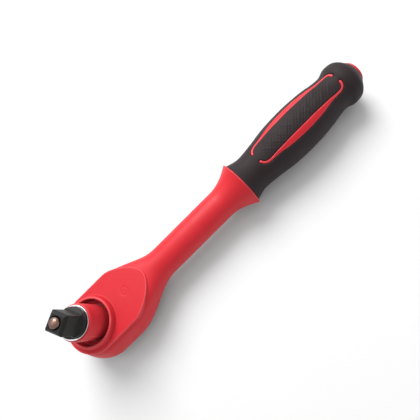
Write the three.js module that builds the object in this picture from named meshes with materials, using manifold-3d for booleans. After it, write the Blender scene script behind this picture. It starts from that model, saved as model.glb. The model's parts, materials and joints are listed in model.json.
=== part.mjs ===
// Insulated half inch reversible ratchet wrench, in millimetres, +Z up.
// It is drawn with the drive axis on Z and the handle axis on X, then stood on its back,
// with the origin under the middle of its length.

import * as THREE from 'three';
import { mergeVertices } from 'three/addons/utils/BufferGeometryUtils.js';
import Module from 'manifold-3d';

const wasm = await Module();
wasm.setup();

// ---- Driving dimensions -------------------------------------------------------------------

const FIT = 0.3;            // gap left between moulded or seated neighbours
const RUN = 0.1;            // radial clearance of a running fit

const SQUARE = 12.7;        // half inch drive, across flats
const SQUARE_TURN = 30;     // degrees from X to the normal of the first flat
const TIP_Z = 50.4;         // end face of the square
const TIP_CHAMFER_Z = 2.2;  // its chamfer, along the square and across it
const TIP_CHAMFER = 1.5;
const SQUARE_RUNOUT_Z = 35; // where the flats start
const NECK_R = 9.8;         // round part of the spindle behind the square
const JOURNAL_R = 10;       // spindle in its bush

const SHANK_R = 11;         // insulated shank
const BAR_R = 7.2;          // steel bar inside it
const BAR_END_X = 222;
const HEAD_R = 23;          // length of the head's round end
const HEAD_HALF = 24.6;     // half its width where it is widest
const HEAD_WIDEST_Z = -2;
const HEAD_TOP_Z = 11.8;    // rounded head body, under the face
const HEAD_BOTTOM_Z = -10.7;
const HEAD_LEAN = 3.8;      // how far its walls lean in towards the face
const HEAD_BOX = 4.5;       // exponent of its section below the widest place, 2 is an ellipse
const HEAD_TOP_BOX = 8;     // and above it
const FACE_Z = 12.4;        // flat drive side face
const FACE_HALF = 20.4;     // half width of that face
const FACE_TIP_X = 48;      // end of the face towards the handle
const LAND_Z = -11;         // rim of insulation around the back cap
const LAND_HALF = 20.8;
const LAND_TIP_X = 46.6;
const NECK_START_X = 17;    // the head starts to narrow
const NECK_END_X = 62;      // the neck has become the round shank
const FLARE_START_X = 118;
const FLARE_POWER = 1.8;    // how sharply the flare turns out
const FLANGE_X = 138.2;     // guard flange in front of the grip
const FLANGE_R = 18.2;

const RIM_BASE_R = 18.1;
const RIM_TOP_R = 16.4;
const RIM_TOP_Z = 16.8;
const RECESS_R = 15.2;      // open ring between the rim and the collar

const COLLAR_R = 11.8;
const COLLAR_BASE_Z = 9.5;
const COLLAR_TOP_Z = 32.4;
const RING_R = 10.8;        // retaining ring in the spindle's groove
const GROOVE_R = 9.3;

const CORE_HALF = 19.2;     // steel head
const CORE_TIP_X = 44;
const CORE_FRONT_Z = 8.3;
const CORE_BACK_Z = -7.3;
const WALL_BACK_Z = 5;      // inner side of the steel front wall
const BORE_R = 14.6;        // room for the ratchet wheel
const BUSH_R = 11.6;

const TEETH = 72;
const TOOTH_TIP_R = 14.2;
const TOOTH_ROOT_R = 13.5;
const WHEEL_BOTTOM_Z = -6;
const WHEEL_TOP_Z = 4.6;
const HUB_R = 5.5;
const HUB_BOTTOM_Z = -8.8;

const PLATE_TOP_Z = -7.4;
const PLATE_BOTTOM_Z = -9;
const CAP_TOP_Z = -9.3;
const CAP_BOTTOM_Z = -11.3;
const SCREW_R = 1.25;
const SCREW_HEAD_R = 2.3;
const SCREW_TIP_Z = -1.5;
const SCREW_RING_R = 16.6;
const TAIL_SCREW_X = 38.5;

const PAWL_PIVOT_X = 19.6;
const PAWL_PIN_R = 1.9;
const PAWL_SWING = 7;       // degrees between its two engaged positions
const PAWL_BOTTOM_Z = -5.8;
const PAWL_TOP_Z = 4.3;

const SELECTOR_X = 29.5;
const SELECTOR_R = 3.5;
const SELECTOR_TURN = 22;   // degrees to either side of the handle line
const PLUNGER_Z = -0.5;
const LEVER_BOTTOM_Z = -18.2;

const PIN_BORE_R = 4.05;    // release pin bore in the square
const PIN_BORE_Z = 33;      // its floor
const PIN_HEAD_R = 3.5;
const PIN_TOP_Z = 52.7;
const PIN_SHOULDER_Z = PIN_TOP_Z - 4.7;
const BALL_R = 2;
const BALL_Z = 42.5;
const BALL_PROUD = 1;

const GRIP_START_X = FLANGE_X + FIT;
const GRIP_SKIN = 2.8;      // thickness of the soft sleeve over the hard core
const SLEEVE_END_X = 246.5;
const BUTT_X = 249.8;
const BUTT_CAP_R = 9;
const PLUG_STEM_X = 237.6;  // inner end of the butt plug's stem
const CORE_END_X = 244.2;

const ROUND = 36;           // facets of a large round
const SMALL_ROUND = 20;     // facets of a small round
const GRIP_ROUND = 28;      // facets round the grip
const GRIP_STATIONS = 21;   // steps along its outside
const LINING_STATIONS = 9;  // steps along the hard core under the sleeve
const BODY_ROUND = 32;      // facets round the head and shank

// ---- Solids -------------------------------------------------------------------------------

const degrees = THREE.MathUtils.degToRad;
const smooth = (from, to, x) => THREE.MathUtils.smoothstep(x, from, to);
const blend = THREE.MathUtils.lerp;

// A closed three.js geometry as a solid, whichever way its faces were wound.
function solid(geometry) {
  const bare = new THREE.BufferGeometry();
  bare.setAttribute('position', geometry.getAttribute('position').clone());
  if (geometry.index) bare.setIndex(geometry.index.clone());
  const merged = mergeVertices(bare, 1e-4);
  const points = merged.getAttribute('position').array;
  const index = merged.index.array;
  const corner = [new THREE.Vector3(), new THREE.Vector3(), new THREE.Vector3()];
  const faces = [];
  let volume = 0;
  for (let i = 0; i < index.length; i += 3) {
    const [a, b, c] = [index[i], index[i + 1], index[i + 2]];
    if (a === b || b === c || c === a) continue;
    faces.push([a, b, c]);
    [a, b, c].forEach((vertex, k) => corner[k].fromArray(points, vertex * 3));
    volume += corner[0].dot(corner[1].clone().cross(corner[2]));
  }
  const wound = volume < 0 ? faces.map(([a, b, c]) => [a, c, b]) : faces;
  return new wasm.Manifold(new wasm.Mesh({
    numProp: 3,
    vertProperties: new Float32Array(points),
    triVerts: new Uint32Array(wound.flat()),
  }));
}

// A solid as a three.js geometry.
function toGeometry(body) {
  const mesh = body.getMesh();
  const geometry = new THREE.BufferGeometry();
  geometry.setAttribute('position', new THREE.BufferAttribute(mesh.vertProperties, 3));
  geometry.setIndex(new THREE.BufferAttribute(mesh.triVerts, 1));
  geometry.computeVertexNormals();
  return geometry;
}

// A profile of [radius, height] points, closed along the axis, turned about Z.
function turned(profile, facets = ROUND) {
  const points = profile.map(([r, z]) => new THREE.Vector2(r, z));
  if (points[0].x > 0 || points[points.length - 1].x > 0) points.push(points[0].clone());
  return solid(new THREE.LatheGeometry(points, facets).rotateX(Math.PI / 2));
}

// The same about X, with [radius, x] points.
function turnedAlongX(profile, facets = ROUND) {
  const points = profile.map(([r, x]) => new THREE.Vector2(r, x));
  if (points[0].x > 0 || points[points.length - 1].x > 0) points.push(points[0].clone());
  return solid(new THREE.LatheGeometry(points, facets).rotateZ(-Math.PI / 2));
}

function disc(radius, bottom, top, facets = ROUND) {
  return turned([[0, bottom], [radius, bottom], [radius, top], [0, top]], facets);
}

function ring(inner, outer, bottom, top, facets = ROUND) {
  return turned([[inner, bottom], [outer, bottom], [outer, top], [inner, top]], facets);
}

function plate(shape, bottom, top, curveSegments = 12) {
  const options = { depth: top - bottom, bevelEnabled: false, curveSegments };
  return solid(new THREE.ExtrudeGeometry(shape, options).translate(0, 0, bottom));
}

// Skins a row of sections that all have the same number of points, and closes both ends.
function loft(sections) {
  const count = sections[0].length;
  const last = (sections.length - 1) * count;
  const positions = sections.flat().flatMap((p) => p.toArray());
  const index = [];
  for (let s = 0; s < sections.length - 1; s += 1) {
    for (let i = 0; i < count; i += 1) {
      const a = s * count + i;
      const b = s * count + (i + 1) % count;
      index.push(a, b, b + count, a, b + count, a + count);
    }
  }
  for (let i = 1; i < count - 1; i += 1) {
    index.push(0, i + 1, i, last, last + i, last + i + 1);
  }
  const geometry = new THREE.BufferGeometry();
  geometry.setAttribute('position', new THREE.Float32BufferAttribute(positions, 3));
  geometry.setIndex(index);
  return solid(geometry);
}

function helix(meanRadius, from, to, turns, wireRadius) {
  const lead = to - from - 2 * wireRadius;
  class Coil extends THREE.Curve {
    getPoint(t, target = new THREE.Vector3()) {
      const angle = t * turns * 2 * Math.PI;
      const height = from + wireRadius + t * lead;
      return target.set(meanRadius * Math.cos(angle), meanRadius * Math.sin(angle), height);
    }
  }
  const wire = new THREE.Shape().absarc(0, 0, wireRadius, 0, 2 * Math.PI);
  const options = { steps: Math.round(turns * 10), extrudePath: new Coil(), curveSegments: 2 };
  return solid(new THREE.ExtrudeGeometry(wire, options));
}

// ---- Outlines -----------------------------------------------------------------------------

// The head outline: round at the drive, straight sides, and a blunt nose towards the handle.
function headOutline(half, tipX) {
  const shoulderX = 24;
  const blunt = 0.45 * half;
  const nose = new THREE.Shape();
  nose.moveTo(0, -half);
  nose.lineTo(shoulderX, -half);
  nose.bezierCurveTo(shoulderX + 8, -half, tipX, -blunt, tipX, 0);
  nose.bezierCurveTo(tipX, blunt, shoulderX + 8, half, shoulderX, half);
  nose.lineTo(0, half);
  nose.absarc(0, 0, half, Math.PI / 2, 1.5 * Math.PI);
  return nose;
}

function toothedOutline(extra) {
  const wheel = new THREE.Shape();
  for (let i = 0; i < 2 * TEETH; i += 1) {
    const radius = (i % 2 ? TOOTH_ROOT_R : TOOTH_TIP_R) + extra;
    const angle = i * Math.PI / TEETH;
    const [x, y] = [radius * Math.cos(angle), radius * Math.sin(angle)];
    if (i) wheel.lineTo(x, y);
    else wheel.moveTo(x, y);
  }
  wheel.closePath();
  return wheel;
}

// One section of the head, neck, shank and flare, square to X. The head's is a box with rounded
// corners whose walls lean in towards the face, and it turns into the shank's circle.
function bodySection(x) {
  const rounding = smooth(16, 56, x);
  const flare = (FLANGE_R - SHANK_R)
    * Math.max(0, (x - FLARE_START_X) / (FLANGE_X - FLARE_START_X)) ** FLARE_POWER;
  const halfWidth = blend(HEAD_HALF, SHANK_R, smooth(NECK_START_X, NECK_END_X, x)) + flare;
  const middle = blend(HEAD_WIDEST_Z, 0, rounding);
  const top = blend(HEAD_TOP_Z, SHANK_R, smooth(40, 66, x)) + flare - middle;
  const bottom = blend(-HEAD_BOTTOM_Z, SHANK_R, smooth(44, 66, x)) + flare + middle;
  const lean = HEAD_LEAN * (1 - rounding);
  const points = [];
  for (let i = 0; i < BODY_ROUND; i += 1) {
    const angle = i * 2 * Math.PI / BODY_ROUND;
    const [c, s] = [Math.cos(angle), Math.sin(angle)];
    const power = 2 / blend(s > 0 ? HEAD_TOP_BOX : HEAD_BOX, 2, rounding);
    const across = Math.abs(c) ** power;
    const up = Math.sign(s) * Math.abs(s) ** power;
    const y = Math.sign(c) * Math.max(0, halfWidth * across - lean * Math.max(0, up) ** 1.4);
    points.push(new THREE.Vector3(x, y, middle + up * (up > 0 ? top : bottom)));
  }
  return points;
}

// Outer radius of the grip, along X.
const gripLine = new THREE.SplineCurve([
  [GRIP_START_X, 16.4], [144, 14.7], [150, 14], [162, 15.2], [176, 17.1], [195, 17.6],
  [211, 16.5], [220, 15], [227, 14.4], [230.5, 15], [234, 16.3], [237.5, 16.4], [240.5, 15.8],
  [243, 14], [245, 11.8], [SLEEVE_END_X, 10.3],
].map(([x, r]) => new THREE.Vector2(x, r)));

// Points of the grip's outline as [radius, x], the hard core's being inset by the sleeve.
function gripProfile() {
  return gripLine.getPoints(GRIP_STATIONS).map((p) => [p.y, p.x]);
}

function liningProfile(inset) {
  return gripLine.getPoints(LINING_STATIONS).filter((p) => p.x < CORE_END_X - 3)
    .map((p) => [p.y - inset, p.x]);
}

function gripRadius(x) {
  const points = gripLine.getPoints(GRIP_STATIONS);
  const after = Math.max(1, points.findIndex((p) => p.x >= x));
  const [a, b] = [points[after - 1], points[after]];
  return blend(a.y, b.y, (x - a.x) / (b.x - a.x));
}

// Middle line of an inlay stripe, as x and the distance round the grip from its top.
const stripeLine = new THREE.SplineCurve([
  [156, 4], [157.6, 6.6], [161, 8.3], [168, 8.8], [178, 9.9], [193, 10.4], [208, 9.7],
  [218, 8.6], [224, 8.5], [228.3, 8], [230.3, 6.2], [230.8, 3.6],
].map(([x, s]) => new THREE.Vector2(x, s)));

// A stripe as a rib that stands through the sleeve, on the top or the bottom, left or right.
function stripe(side, face, extra, lowR, highR) {
  const steps = 16;
  const sections = [];
  for (let i = 0; i <= steps; i += 1) {
    const t = i / steps;
    const middle = stripeLine.getPoint(t);
    const along = stripeLine.getTangent(t);
    const swell = Math.exp(-(Math.abs((middle.x - 193) / 22) ** 3));
    const half = 0.8 + 1.8 * swell + extra;
    const radius = gripRadius(THREE.MathUtils.clamp(middle.x, 150, 240));
    const end = (i === 0 ? -1 : i === steps ? 1 : 0) * extra;
    const place = (across, r) => {
      const x = middle.x - along.y * across + along.x * end;
      const angle = (middle.y + along.x * across + along.y * end) / radius;
      return new THREE.Vector3(x, side * r * Math.sin(angle), face * r * Math.cos(angle));
    };
    const [low, high] = [radius + lowR, radius + highR];
    sections.push([place(-half, low), place(half, low), place(half, high), place(-half, high)]);
  }
  return loft(sections);
}

// ---- Pieces -------------------------------------------------------------------------------

const screwPlaces = [[0, SCREW_RING_R], [-SCREW_RING_R, 0], [0, -SCREW_RING_R], [TAIL_SCREW_X, 0]];
const selectorAngle = degrees(180 + SELECTOR_TURN);
const ballAngle = SQUARE_TURN + 90;

function insulationShell() {
  const stations = [0, NECK_START_X, 23, 28, 33, 38, 43, 48, 54, 60, 66,
    FLARE_START_X, 123, 127, 131, 134, 136.5, FLANGE_X];
  const stretch = HEAD_HALF / HEAD_R;
  const profile = bodySection(0).filter((p) => p.y > 0.01).sort((a, b) => a.z - b.z)
    .map((p) => [p.y / stretch, p.z]);
  const roundEnd = turned([[0, HEAD_BOTTOM_Z], ...profile, [0, HEAD_TOP_Z]])
    .scale([1, stretch, 1]);
  const rim = turned([[0, 0], [RIM_BASE_R, 0], [RIM_BASE_R, FACE_Z], [17.4, 12.9], [16.9, 15.8],
    [RIM_TOP_R, 16.6], [15.9, RIM_TOP_Z], [0, RIM_TOP_Z]]);
  const roomForSteel = plate(headOutline(CORE_HALF + FIT, CORE_TIP_X + FIT), -13,
    CORE_FRONT_Z + FIT);
  const roomForBar = turnedAlongX([[0, 30], [BAR_R + FIT, 30], [BAR_R + FIT, 140], [0, 140]],
    SMALL_ROUND);
  return loft(stations.map(bodySection))
    .add(roundEnd)
    .add(plate(headOutline(FACE_HALF, FACE_TIP_X), 0, FACE_Z))
    .add(plate(headOutline(LAND_HALF, LAND_TIP_X), LAND_Z, 0))
    .add(rim)
    .subtract(disc(RECESS_R, 8, 18))
    .subtract(roomForSteel)
    .subtract(roomForBar);
}

function pawlPocket() {
  const pocket = new THREE.Shape();
  pocket.moveTo(8, -11.9);
  pocket.lineTo(18, -11.9);
  pocket.lineTo(24.6, -6.5);
  pocket.lineTo(24.6, 6.5);
  pocket.lineTo(18, 11.9);
  pocket.lineTo(8, 11.9);
  pocket.closePath();
  return plate(pocket, CORE_BACK_Z - 1, WALL_BACK_Z);
}

function ratchetBody() {
  const bar = turnedAlongX([[0, 34], [BAR_R, 34], [BAR_R, BAR_END_X - 1.5],
    [BAR_R - 1.5, BAR_END_X], [0, BAR_END_X]], SMALL_ROUND);
  const channel = new THREE.BoxGeometry(10, 7, WALL_BACK_Z - CORE_BACK_Z + 1)
    .translate(PAWL_PIVOT_X + 5, 0, (WALL_BACK_Z + CORE_BACK_Z - 1) / 2);
  let body = plate(headOutline(CORE_HALF, CORE_TIP_X), CORE_BACK_Z, CORE_FRONT_Z)
    .add(bar)
    .subtract(disc(BORE_R, CORE_BACK_Z - 1, WALL_BACK_Z))
    .subtract(disc(BUSH_R + 0.2, 0, CORE_FRONT_Z + 1))
    .subtract(pawlPocket())
    .subtract(solid(channel))
    .subtract(disc(PAWL_PIN_R + 0.2, 0, 7.1, SMALL_ROUND).translate(PAWL_PIVOT_X, 0, 0))
    .subtract(disc(SELECTOR_R + 0.2, CORE_BACK_Z - 1, 4.3, SMALL_ROUND).translate(SELECTOR_X, 0, 0))
    .subtract(disc(5.3, CORE_BACK_Z - 1, -5.4, SMALL_ROUND).translate(SELECTOR_X, 0, 0));
  for (const [x, y] of screwPlaces) {
    body = body.subtract(disc(SCREW_R + 0.15, CORE_BACK_Z - 1, SCREW_TIP_Z + 0.5, 12)
      .translate(x, y, 0));
  }
  return body;
}

// The square with its chamfered end and the run-out of its flats, as the solid that leaves it.
function squareHorn() {
  const half = SQUARE / 2;
  const heights = [[-12, 20], [SQUARE_RUNOUT_Z - 0.2, 20], [SQUARE_RUNOUT_Z, NECK_R],
    [35.6, 8.6], [36.5, 7.2], [37.8, half], [TIP_Z - TIP_CHAMFER_Z, half],
    [TIP_Z, half - TIP_CHAMFER]];
  return loft(heights.map(([z, h]) => [0, 1, 2, 3].map((k) => {
    const angle = degrees(SQUARE_TURN + 45 + 90 * k);
    return new THREE.Vector3(h * Math.SQRT2 * Math.cos(angle), h * Math.SQRT2 * Math.sin(angle), z);
  })));
}

function driveSpindle() {
  const turnedPart = turned([[0, HUB_BOTTOM_Z], [HUB_R, HUB_BOTTOM_Z], [HUB_R, WHEEL_TOP_Z - 1],
    [JOURNAL_R, WHEEL_TOP_Z - 1], [JOURNAL_R, 9.2], [NECK_R, 9.2], [NECK_R, 32.5], [GROOVE_R, 32.5],
    [GROOVE_R, 33.7], [NECK_R, 33.7], [NECK_R, TIP_Z - TIP_CHAMFER_Z],
    [NECK_R - TIP_CHAMFER_Z, TIP_Z], [0, TIP_Z]]);
  const ballHole = disc(BALL_R + 0.15, 0, 12, SMALL_ROUND).rotate([0, 90, ballAngle])
    .translate(0, 0, BALL_Z);
  return turnedPart
    .add(plate(toothedOutline(0), WHEEL_BOTTOM_Z, WHEEL_TOP_Z))
    .intersect(squareHorn())
    .subtract(disc(PIN_BORE_R, PIN_BORE_Z, TIP_Z + 1, SMALL_ROUND))
    .subtract(disc(2.1, 24, PIN_BORE_Z + 1, SMALL_ROUND))
    .subtract(ballHole);
}

function driveCollar() {
  const inner = NECK_R + FIT;
  return turned([[inner, COLLAR_BASE_Z], [COLLAR_R, COLLAR_BASE_Z], [COLLAR_R, 31.3],
    [11.5, 32.1], [11.1, COLLAR_TOP_Z], [inner, COLLAR_TOP_Z]]);
}

function releasePin() {
  const dome = [[3.5, 2.5], [3.2, 3.5], [2.3, 4.3], [1.2, 4.6], [0, 4.7]]
    .map(([r, up]) => [r, PIN_SHOULDER_Z + up]);
  return turned([[0, 26], [1.7, 26], [1.7, 40.2], [3.7, 40.2], [3.7, 41.1], [1.9, 44.7],
    [1.9, PIN_SHOULDER_Z], [PIN_HEAD_R, PIN_SHOULDER_Z], ...dome], SMALL_ROUND);
}

function lockingBall() {
  const reach = SQUARE / 2 + BALL_PROUD - BALL_R;
  const angle = degrees(ballAngle);
  return solid(new THREE.SphereGeometry(BALL_R, 16, 10)
    .translate(reach * Math.cos(angle), reach * Math.sin(angle), BALL_Z));
}

// A rocker with a toothed nose on each side of the handle line. Each nose is cut to mesh with
// the wheel at its own end of the swing.
function pawl() {
  const polar = (radius, angle) => [radius * Math.cos(degrees(angle)),
    radius * Math.sin(degrees(angle))];
  const blank = new THREE.Shape();
  blank.moveTo(...polar(12.8, -37));
  blank.lineTo(...polar(16.6, -37));
  blank.lineTo(21.6, -4.8);
  blank.lineTo(23.3, -3.2);
  blank.lineTo(22.7, 0);
  blank.lineTo(23.3, 3.2);
  blank.lineTo(21.6, 4.8);
  blank.lineTo(...polar(16.6, 37));
  blank.lineTo(...polar(12.8, 37));
  blank.lineTo(...polar(12.8, 22));
  blank.lineTo(...polar(15.4, 21));
  blank.lineTo(15.6, 0);
  blank.lineTo(...polar(15.4, -21));
  blank.lineTo(...polar(12.8, -22));
  blank.closePath();
  const wheel = plate(toothedOutline(0.2), -20, 20);
  const wheelAtOtherEnd = wheel.translate(-PAWL_PIVOT_X, 0, 0).rotate([0, 0, -PAWL_SWING])
    .translate(PAWL_PIVOT_X, 0, 0);
  const tilt = (body) => body.translate(-PAWL_PIVOT_X, 0, 0).rotate([0, 0, -PAWL_SWING / 2])
    .translate(PAWL_PIVOT_X, 0, 0);
  return tilt(plate(blank, PAWL_BOTTOM_Z, PAWL_TOP_Z))
    .subtract(disc(PAWL_PIN_R + RUN, -20, 20, SMALL_ROUND).translate(PAWL_PIVOT_X, 0, 0))
    .subtract(wheel)
    .subtract(wheelAtOtherEnd);
}

function selectorShaft() {
  const shaft = turned([[0, -15.8], [SELECTOR_R, -15.8], [SELECTOR_R, -7.1], [5, -7.1],
    [5, -5.7], [SELECTOR_R, -5.7], [SELECTOR_R, 3.6], [3.1, 4], [0, 4]], SMALL_ROUND);
  return shaft.subtract(disc(1.15, -1.2, 5, 16).rotate([0, 90, 0]).translate(0, 0, PLUNGER_Z));
}

function selectorLever() {
  const wing = new THREE.Shape();
  wing.absarc(10.2, 0, 2.9, -Math.PI / 2, Math.PI / 2);
  wing.absarc(-4.4, 0, 3.1, Math.PI / 2, 1.5 * Math.PI);
  const boss = turned([[0, -11.7], [7.6, -11.7], [7.6, -13.4], [6.6, -14.2], [0, -14.2]], 32);
  return boss.add(plate(wing, LEVER_BOTTOM_Z, -12.4, 8))
    .subtract(disc(SELECTOR_R + FIT, -16.1, -11, SMALL_ROUND));
}

function pawlPlunger() {
  const rod = turned([[0, 2.6], [1, 2.6], [1, 5.5], [0.7, 5.95], [0, 6.15]], 16);
  return rod.rotate([0, 90, 0]).translate(0, 0, PLUNGER_Z);
}

function pawlSpring() {
  return helix(0.7, -1, 2.5, 4, 0.2).rotate([0, 90, 0]).translate(0, 0, PLUNGER_Z);
}

function coverPlate() {
  let cover = plate(headOutline(CORE_HALF, CORE_TIP_X), PLATE_BOTTOM_Z, PLATE_TOP_Z)
    .subtract(disc(HUB_R + RUN, -12, 0))
    .subtract(disc(SELECTOR_R + RUN, -12, 0, SMALL_ROUND).translate(SELECTOR_X, 0, 0));
  for (const [x, y] of screwPlaces) {
    cover = cover.subtract(countersunk(0.2).translate(x, y, 0));
  }
  return cover;
}

function countersunk(extra) {
  return turned([[0, PLATE_BOTTOM_Z - extra], [SCREW_HEAD_R + extra, PLATE_BOTTOM_Z - extra],
    [SCREW_HEAD_R + extra, PLATE_BOTTOM_Z + 0.2], [SCREW_R + extra, -7.6],
    [SCREW_R + extra, SCREW_TIP_Z], [0, SCREW_TIP_Z]], 12);
}

function backCap() {
  return plate(headOutline(CORE_HALF, CORE_TIP_X), CAP_BOTTOM_Z, CAP_TOP_Z)
    .subtract(disc(4.9, -14, -8, SMALL_ROUND).translate(SELECTOR_X, 0, 0));
}

const stripes = [[1, 1], [-1, 1], [1, -1], [-1, -1]];

function gripCore() {
  const outer = [...liningProfile(GRIP_SKIN), [BUTT_CAP_R + FIT, CORE_END_X]];
  let core = turnedAlongX([[0, GRIP_START_X], ...outer, [0, CORE_END_X]], GRIP_ROUND)
    .subtract(turnedAlongX([[0, 130], [BAR_R + FIT, 130], [BAR_R + FIT, BAR_END_X + 0.5],
      [0, BAR_END_X + 0.5]], SMALL_ROUND))
    .subtract(turnedAlongX([[0, PLUG_STEM_X - 0.4], [5.3, PLUG_STEM_X - 0.4], [5.3, 250],
      [0, 250]], SMALL_ROUND));
  for (const [side, face] of stripes) {
    core = core.add(stripe(side, face, 0, -GRIP_SKIN - 1, -0.15));
  }
  return core;
}

function gripSleeve() {
  const inner = liningProfile(GRIP_SKIN - FIT);
  let sleeve = turnedAlongX([[0, GRIP_START_X], ...gripProfile(), [0, SLEEVE_END_X]], GRIP_ROUND)
    .subtract(turnedAlongX([[0, 130], [inner[0][0], 130], ...inner,
      [BUTT_CAP_R + 2 * FIT, CORE_END_X], [BUTT_CAP_R + FIT, CORE_END_X + FIT],
      [BUTT_CAP_R + FIT, 252], [0, 252]], GRIP_ROUND));
  for (const [side, face] of stripes) {
    sleeve = sleeve.subtract(stripe(side, face, FIT, -GRIP_SKIN - 1.5, 1));
  }
  return sleeve;
}

function buttCap() {
  const dome = [[BUTT_CAP_R, 1.8], [8.2, 0.8], [6, 0.3], [3, 0.05], [0, 0]]
    .map(([r, down]) => [r, BUTT_X - down]);
  return turnedAlongX([[0, PLUG_STEM_X], [5, PLUG_STEM_X], [5, CORE_END_X + FIT],
    [BUTT_CAP_R, CORE_END_X + FIT], ...dome], SMALL_ROUND);
}

// ---- Assembly -----------------------------------------------------------------------------

const finishes = {
  red: ['#d8323a', 0.42, 0],
  black: ['#2f2a2b', 0.75, 0],
  forged: ['#8c8f92', 0.45, 1],
  phosphated: ['#2b2729', 0.5, 0.6],
  bright: ['#c9ccd0', 0.22, 1],
  copperish: ['#c09a86', 0.25, 1],
  bronze: ['#a9824f', 0.4, 1],
  rubber: ['#1c1c1d', 0.85, 0],
};

const wrench = new THREE.Group();

function add(name, body, finish, parent = wrench) {
  const [color, roughness, metalness] = finishes[finish];
  const material = new THREE.MeshStandardMaterial({ color, roughness, metalness });
  const mesh = new THREE.Mesh(toGeometry(body), material);
  mesh.name = name;
  parent.add(mesh);
  return mesh;
}

add('insulation_shell', insulationShell(), 'red');
add('ratchet_body', ratchetBody(), 'forged');
add('spindle_bush', ring(JOURNAL_R + RUN, BUSH_R, 5.1, 8.2), 'bronze');
add('drive_seal', ring(COLLAR_R + FIT, RECESS_R - 0.2, 8.6, 10), 'red');
add('thrust_washer', ring(HUB_R + FIT, 12.5, -6.9, -6.3), 'bronze');
add('cover_plate', coverPlate(), 'forged');
screwPlaces.forEach(([x, y], i) => {
  add(`cover_screw_${i + 1}`, countersunk(0), 'bright').position.set(x, y, 0);
});
add('back_cap', backCap(), 'red');
add('selector_seal', ring(SELECTOR_R + 0.2, 4.7, -10.9, -9.5, SMALL_ROUND), 'rubber')
  .position.set(SELECTOR_X, 0, 0);
add('pawl_pivot_pin', disc(PAWL_PIN_R, -7.1, 6.8, SMALL_ROUND), 'bright')
  .position.set(PAWL_PIVOT_X, 0, 0);

add('drive_spindle', driveSpindle(), 'phosphated');
add('drive_collar', driveCollar(), 'red');
add('collar_ring', ring(GROOVE_R + FIT, RING_R, 32.7, 33.4), 'bright');
add('release_pin', releasePin(), 'copperish');
add('release_spring', helix(2.9, PIN_BORE_Z + RUN, 40, 4, 0.35), 'bright');
add('locking_ball', lockingBall(), 'bright');

add('pawl', pawl(), 'forged');

const selector = new THREE.Group();
selector.position.set(SELECTOR_X, 0, 0);
selector.rotation.z = selectorAngle;
wrench.add(selector);
add('selector_shaft', selectorShaft(), 'forged', selector);
add('pawl_plunger', pawlPlunger(), 'bright', selector);
add('pawl_spring', pawlSpring(), 'bright', selector);
add('selector_lever', selectorLever(), 'black', selector).rotation.z = Math.PI;

add('grip_core', gripCore(), 'red');
add('grip_sleeve', gripSleeve(), 'black');
add('butt_cap', buttCap(), 'red');

wrench.position.set(-(BUTT_X - HEAD_R) / 2, 0, -LEVER_BOTTOM_Z);

const model = new THREE.Group();
model.add(wrench);

export default model;
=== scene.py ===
"""Looks of an insulated half inch ratchet wrench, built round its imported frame.

Lengths inside the shape functions are in millimetres, measured from the point where the
drive axis crosses the handle axis: X runs along the handle, Z along the square drive."""

import json
import math
from itertools import product
from types import SimpleNamespace

import bmesh
import bpy
import numpy as np
from bpy.props import FloatProperty, FloatVectorProperty, IntProperty, PointerProperty
from mathutils import Matrix, Vector


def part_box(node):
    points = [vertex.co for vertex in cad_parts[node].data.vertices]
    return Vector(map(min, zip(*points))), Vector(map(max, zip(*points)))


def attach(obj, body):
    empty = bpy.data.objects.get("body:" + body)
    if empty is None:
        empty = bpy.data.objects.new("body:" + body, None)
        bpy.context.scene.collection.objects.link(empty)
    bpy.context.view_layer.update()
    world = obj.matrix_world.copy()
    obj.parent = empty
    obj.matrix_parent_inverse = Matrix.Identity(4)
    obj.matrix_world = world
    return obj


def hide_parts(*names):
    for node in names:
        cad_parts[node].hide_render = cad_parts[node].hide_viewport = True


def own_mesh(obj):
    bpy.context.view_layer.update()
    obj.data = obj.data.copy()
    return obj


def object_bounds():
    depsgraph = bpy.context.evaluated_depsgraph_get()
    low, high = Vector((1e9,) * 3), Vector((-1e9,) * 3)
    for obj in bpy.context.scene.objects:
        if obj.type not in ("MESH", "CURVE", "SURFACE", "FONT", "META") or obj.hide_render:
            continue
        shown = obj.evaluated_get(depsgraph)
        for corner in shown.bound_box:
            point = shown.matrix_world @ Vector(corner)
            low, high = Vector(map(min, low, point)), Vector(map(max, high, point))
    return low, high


bl_info = {
    "name": "Insulated Ratchet Wrench",
    "version": (1, 0, 0),
    "blender": (4, 5, 0),
    "location": "3D View > Sidebar > Wrench",
    "description": "Fine meshes, finishes and a small studio for an insulated ratchet wrench",
    "category": "Add Mesh",
}

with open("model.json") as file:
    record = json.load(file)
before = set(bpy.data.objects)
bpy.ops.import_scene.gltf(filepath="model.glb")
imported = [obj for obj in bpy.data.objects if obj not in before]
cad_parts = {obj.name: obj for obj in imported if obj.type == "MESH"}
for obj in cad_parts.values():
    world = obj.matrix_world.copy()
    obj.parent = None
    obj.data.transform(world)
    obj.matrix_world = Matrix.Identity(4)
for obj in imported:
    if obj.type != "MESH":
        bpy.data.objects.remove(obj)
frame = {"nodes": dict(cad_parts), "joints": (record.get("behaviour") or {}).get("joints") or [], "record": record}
CAD_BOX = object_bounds()

MM = 0.001
JOINTS = {joint["name"]: joint for joint in frame["joints"]}
DRIVE = Vector(JOINTS["drive_rotation"]["pos_m"])
SELECTOR_X = (JOINTS["selector_turn"]["pos_m"][0] - DRIVE.x) / MM
SELECTOR_TILT = math.radians(JOINTS["selector_turn"]["range_deg"][1] / 2)


def span(node):
    """Lowest and highest corner of a CAD node in millimetres from the drive's own origin."""
    return [(corner - DRIVE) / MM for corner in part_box(node)]


SHELL, CAP, LEVER = (span(node) for node in ("insulation_shell", "back_cap", "selector_lever"))
SLEEVE, CORE, PLUG = (span(node) for node in ("grip_sleeve", "grip_core", "butt_cap"))
COLLAR, RING, SPINDLE, PIN, SPRING, BALL = (
    span(node) for node in ("drive_collar", "collar_ring", "drive_spindle", "release_pin",
                            "release_spring", "locking_ball"))

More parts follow.
